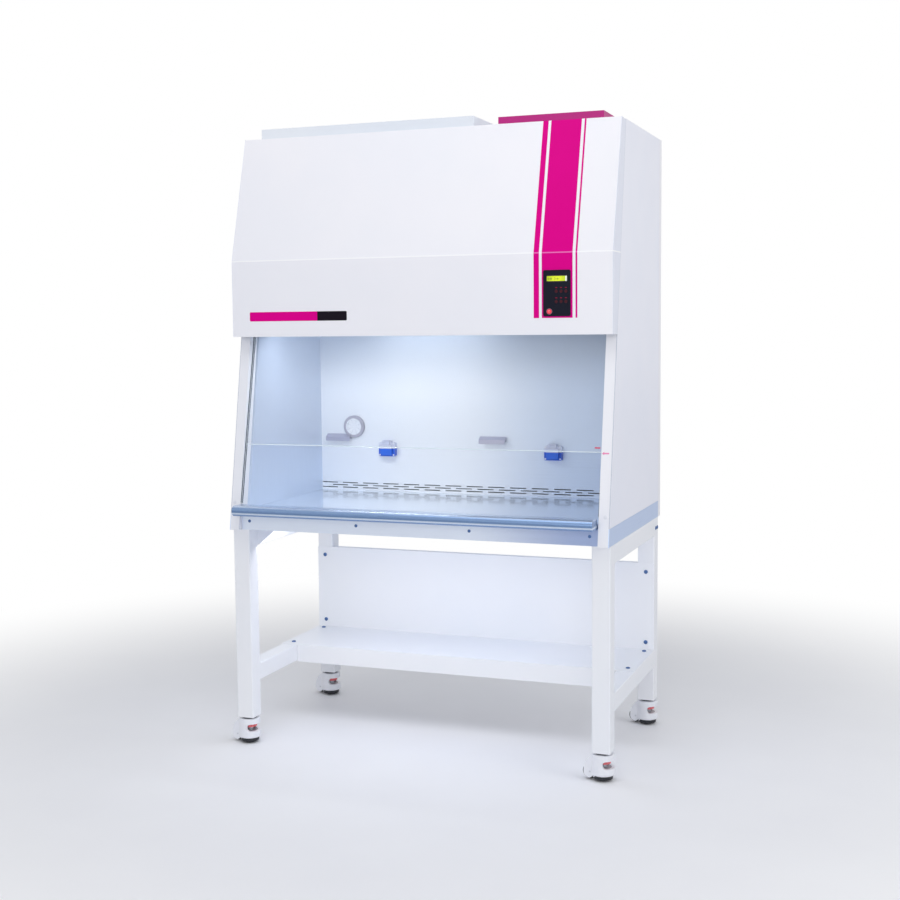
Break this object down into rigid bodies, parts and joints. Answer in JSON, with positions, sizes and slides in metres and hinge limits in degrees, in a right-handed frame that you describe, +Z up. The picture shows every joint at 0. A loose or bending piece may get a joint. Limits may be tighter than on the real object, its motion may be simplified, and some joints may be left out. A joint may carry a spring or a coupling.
{
  "type": "biosafety cabinet",
  "caption": "Class II biosafety cabinet with a counterbalanced leaning glass sash, hood and control keys, on a welded stand with levelling casters.",
  "frame": {"origin": "on the floor, on the cabinet's centre plane, midway between the arm rest's nose and the rear panel", "axes": "+X to the user's right, +Y towards the back, +Z up"},
  "size_m": [1.3624, 0.8269, 2.117],
  "materials": {
    "white_paint": "satin powder coat",
    "hood_paint": "satin powder coat",
    "frame_paint": "satin powder coat",
    "stainless": "brushed",
    "liner_steel": "brushed",
    "galvanised": "plain",
    "shaft_steel": "turned",
    "aluminium": "anodised",
    "safety_glass": "clear",
    "filter_media": "matte",
    "pale_blue_paint": "satin",
    "magenta_paint": "satin",
    "black_plastic": "satin",
    "lcd": "gloss",
    "red_key": "satin",
    "power_red": "gloss",
    "grey_plastic": "satin",
    "blue_plastic": "satin",
    "caster_white": "satin",
    "tyre": "matte",
    "thumb_red": "satin",
    "foot_rubber": "matte",
    "lamp_white": "frosted",
    "screw_steel": "plain"
  },
  "bodies": {
    "cabinet": {"side_panel_left": "white_paint", "side_panel_right": "white_paint", "rear_panel": "white_paint", "top_panel": "white_paint", "front_hood": "hood_paint", "front_posts": "white_paint", "sash_guides": "galvanised", "base_pan": "stainless", "front_fascia": "stainless", "arm_rest": "stainless", "inner_sides": "liner_steel", "inner_back_wall": "liner_steel", "work_tray": "stainless", "air_diffuser": "galvanised", "hepa_filters": "filter_media", "service_port": "grey_plastic", "lift_handles": "stainless", "socket_bodies": "blue_plastic", "control_panel": "black_plastic", "display": "lcd", "exhaust_box": "pale_blue_paint", "control_box": "magenta_paint", "blower_housing": "galvanised", "lamps": "lamp_white", "stand_side_right": "frame_paint", "stand_side_left": "frame_paint", "stand_shelf": "frame_paint", "stand_back_panel": "frame_paint", "fasteners": "screw_steel", "caster_mounts": "shaft_steel"},
    "sash": {"sash_glass": "safety_glass", "sash_carrier": "aluminium"},
    "counterweights": {"counterweights": "galvanised"},
    "sash_shaft": {"sash_shaft": "shaft_steel"},
    "impeller": {"blower_impeller": "shaft_steel"},
    "socket_lid_left": {"socket_lid_left": "blue_plastic"},
    "socket_lid_right": {"socket_lid_right": "blue_plastic"},
    "power_button": {"power_button": "power_red"},
    "key_1": {"key_1": "red_key"},
    "key_2": {"key_2": "red_key"},
    "key_3": {"key_3": "red_key"},
    "key_4": {"key_4": "red_key"},
    "key_5": {"key_5": "red_key"},
    "key_6": {"key_6": "red_key"},
    "front_left_housing": {"caster_front_left_housing": "caster_white"},
    "front_left_wheel": {"caster_front_left_wheel": "tyre"},
    "front_left_thumbwheel": {"caster_front_left_thumbwheel": "thumb_red"},
    "front_left_foot": {"caster_front_left_foot": "foot_rubber"},
    "front_right_housing": {"caster_front_right_housing": "caster_white"},
    "front_right_wheel": {"caster_front_right_wheel": "tyre"},
    "front_right_thumbwheel": {"caster_front_right_thumbwheel": "thumb_red"},
    "front_right_foot": {"caster_front_right_foot": "foot_rubber"},
    "back_left_housing": {"caster_back_left_housing": "caster_white"},
    "back_left_wheel": {"caster_back_left_wheel": "tyre"},
    "back_left_thumbwheel": {"caster_back_left_thumbwheel": "thumb_red"},
    "back_left_foot": {"caster_back_left_foot": "foot_rubber"},
    "back_right_housing": {"caster_back_right_housing": "caster_white"},
    "back_right_wheel": {"caster_back_right_wheel": "tyre"},
    "back_right_thumbwheel": {"caster_back_right_thumbwheel": "thumb_red"},
    "back_right_foot": {"caster_back_right_foot": "foot_rubber"}
  },
  "joints": [
    {"name": "sash_slide", "type": "slide", "parent": "cabinet", "child": "sash", "axis": [0, 0.2047, 0.9788], "range_m": [-0.216, 0.36]},
    {"name": "counterweight_slide", "type": "slide", "parent": "cabinet", "child": "counterweights", "axis": [0, 0, 1], "range_m": [-0.361, 0.217]},
    {"name": "sash_shaft_turn", "type": "hinge", "parent": "cabinet", "child": "sash_shaft", "pos_m": [0, -0.03, 2.016], "axis": [1, 0, 0], "range_deg": [-520, 312]},
    {"name": "impeller_spin", "type": "hinge", "parent": "cabinet", "child": "impeller", "pos_m": [0, 0.06, 1.745], "axis": [1, 0, 0], "continuous": true},
    {"name": "socket_lid_left_hinge", "type": "hinge", "parent": "cabinet", "child": "socket_lid_left", "pos_m": [-0.34, 0.253, 1.0105], "axis": [-1, 0, 0], "range_deg": [0, 110], "stiffness_Nm_per_rad": 0.02, "springref_deg": -17.19},
    {"name": "socket_lid_right_hinge", "type": "hinge", "parent": "cabinet", "child": "socket_lid_right", "pos_m": [0.304, 0.253, 1.0105], "axis": [-1, 0, 0], "range_deg": [0, 110], "stiffness_Nm_per_rad": 0.02, "springref_deg": -17.19},
    {"name": "key_1_press", "type": "slide", "parent": "cabinet", "child": "key_1", "axis": [0, 1, 0], "range_m": [0, 0.001], "stiffness_N_per_m": 600, "springref_m": -0.001},
    {"name": "key_2_press", "type": "slide", "parent": "cabinet", "child": "key_2", "axis": [0, 1, 0], "range_m": [0, 0.001], "stiffness_N_per_m": 600, "springref_m": -0.001},
    {"name": "key_3_press", "type": "slide", "parent": "cabinet", "child": "key_3", "axis": [0, 1, 0], "range_m": [0, 0.001], "stiffness_N_per_m": 600, "springref_m": -0.001},
    {"name": "key_4_press", "type": "slide", "parent": "cabinet", "child": "key_4", "axis": [0, 1, 0], "range_m": [0, 0.001], "stiffness_N_per_m": 600, "springref_m": -0.001},
    {"name": "key_5_press", "type": "slide", "parent": "cabinet", "child": "key_5", "axis": [0, 1, 0], "range_m": [0, 0.001], "stiffness_N_per_m": 600, "springref_m": -0.001},
    {"name": "key_6_press", "type": "slide", "parent": "cabinet", "child": "key_6", "axis": [0, 1, 0], "range_m": [0, 0.001], "stiffness_N_per_m": 600, "springref_m": -0.001},
    {"name": "power_press", "type": "slide", "parent": "cabinet", "child": "power_button", "axis": [0, 1, 0], "range_m": [0, 0.001], "stiffness_N_per_m": 800, "springref_m": -0.001},
    {"name": "front_left_swivel", "type": "hinge", "parent": "cabinet", "child": "front_left_housing", "pos_m": [-0.63, -0.308, 0.08], "axis": [0, 0, 1], "continuous": true},
    {"name": "front_left_roll", "type": "hinge", "parent": "front_left_housing", "child": "front_left_wheel", "pos_m": [-0.669, -0.308, 0.028], "axis": [0, 1, 0], "continuous": true},
    {"name": "front_left_foot_lift", "type": "slide", "parent": "front_left_housing", "child": "front_left_foot", "axis": [0, 0, 1], "range_m": [0, 0.0075]},
    {"name": "front_left_adjust", "type": "hinge", "parent": "front_left_housing", "child": "front_left_thumbwheel", "pos_m": [-0.63, -0.308, 0.058], "axis": [0, 0, 1], "range_deg": [0, 1910]},
    {"name": "front_right_swivel", "type": "hinge", "parent": "cabinet", "child": "front_right_housing", "pos_m": [0.63, -0.308, 0.08], "axis": [0, 0, 1], "continuous": true},
    {"name": "front_right_roll", "type": "hinge", "parent": "front_right_housing", "child": "front_right_wheel", "pos_m": [0.591, -0.308, 0.028], "axis": [0, 1, 0], "continuous": true},
    {"name": "front_right_foot_lift", "type": "slide", "parent": "front_right_housing", "child": "front_right_foot", "axis": [0, 0, 1], "range_m": [0, 0.0075]},
    {"name": "front_right_adjust", "type": "hinge", "parent": "front_right_housing", "child": "front_right_thumbwheel", "pos_m": [0.63, -0.308, 0.058], "axis": [0, 0, 1], "range_deg": [0, 1910]},
    {"name": "back_left_swivel", "type": "hinge", "parent": "cabinet", "child": "back_left_housing", "pos_m": [-0.63, 0.348, 0.08], "axis": [0, 0, 1], "continuous": true},
    {"name": "back_left_roll", "type": "hinge", "parent": "back_left_housing", "child": "back_left_wheel", "pos_m": [-0.669, 0.348, 0.028], "axis": [0, 1, 0], "continuous": true},
    {"name": "back_left_foot_lift", "type": "slide", "parent": "back_left_housing", "child": "back_left_foot", "axis": [0, 0, 1], "range_m": [0, 0.0075]},
    {"name": "back_left_adjust", "type": "hinge", "parent": "back_left_housing", "child": "back_left_thumbwheel", "pos_m": [-0.63, 0.348, 0.058], "axis": [0, 0, 1], "range_deg": [0, 1910]},
    {"name": "back_right_swivel", "type": "hinge", "parent": "cabinet", "child": "back_right_housing", "pos_m": [0.63, 0.348, 0.08], "axis": [0, 0, 1], "continuous": true},
    {"name": "back_right_roll", "type": "hinge", "parent": "back_right_housing", "child": "back_right_wheel", "pos_m": [0.591, 0.348, 0.028], "axis": [0, 1, 0], "continuous": true},
    {"name": "back_right_foot_lift", "type": "slide", "parent": "back_right_housing", "child": "back_right_foot", "axis": [0, 0, 1], "range_m": [0, 0.0075]},
    {"name": "back_right_adjust", "type": "hinge", "parent": "back_right_housing", "child": "back_right_thumbwheel", "pos_m": [0.63, 0.348, 0.058], "axis": [0, 0, 1], "range_deg": [0, 1910]}
  ],
  "couplings": [
    {"joint": "counterweight_slide", "follows": "sash_slide", "ratio": -1},
    {"joint": "sash_shaft_turn", "follows": "sash_slide", "rad_per_m": -25},
    {"joint": "front_left_adjust", "follows": "front_left_foot_lift", "rad_per_m": 4188.8},
    {"joint": "front_right_adjust", "follows": "front_right_foot_lift", "rad_per_m": 4188.8},
    {"joint": "back_left_adjust", "follows": "back_left_foot_lift", "rad_per_m": 4188.8},
    {"joint": "back_right_adjust", "follows": "back_right_foot_lift", "rad_per_m": 4188.8}
  ]
}
